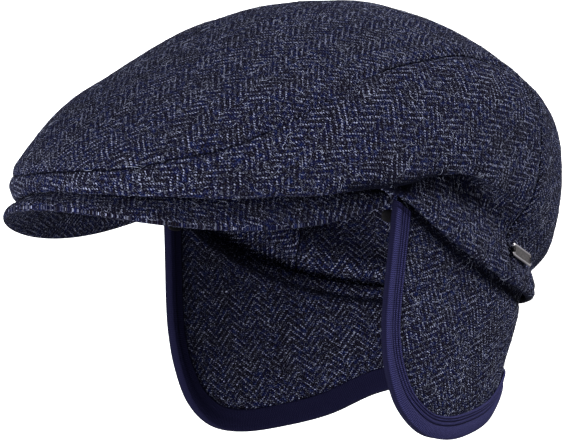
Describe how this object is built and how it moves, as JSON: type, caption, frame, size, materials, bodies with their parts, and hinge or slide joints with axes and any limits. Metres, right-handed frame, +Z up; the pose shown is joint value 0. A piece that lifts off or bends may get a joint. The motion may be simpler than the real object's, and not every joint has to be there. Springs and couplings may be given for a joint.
{
  "type": "earflap ivy cap",
  "caption": "Tweed ivy cap with a stiff peak, a full crown and a fold-down flap with ribbed binding that covers the ears and nape.",
  "frame": {"origin": "middle of the head opening, level with the peak's front edge", "axes": "+Z up, -Y forward over the peak, +X to the wearer's left"},
  "size_m": [0.1957, 0.269, 0.1938],
  "materials": {
    "tweed": "herringbone wool tweed",
    "binding_tape": "ribbed tape",
    "tab_black": "plain black",
    "badge_metal": "dull brushed"
  },
  "bodies": {
    "root": {"crown_top": "tweed", "crown_side": "tweed", "peak": "tweed", "ear_flap": "tweed", "flap_binding": "binding_tape", "flap_tab_left": "tab_black", "flap_tab_right": "tab_black", "badge": "badge_metal"}
  },
  "joints": []
}
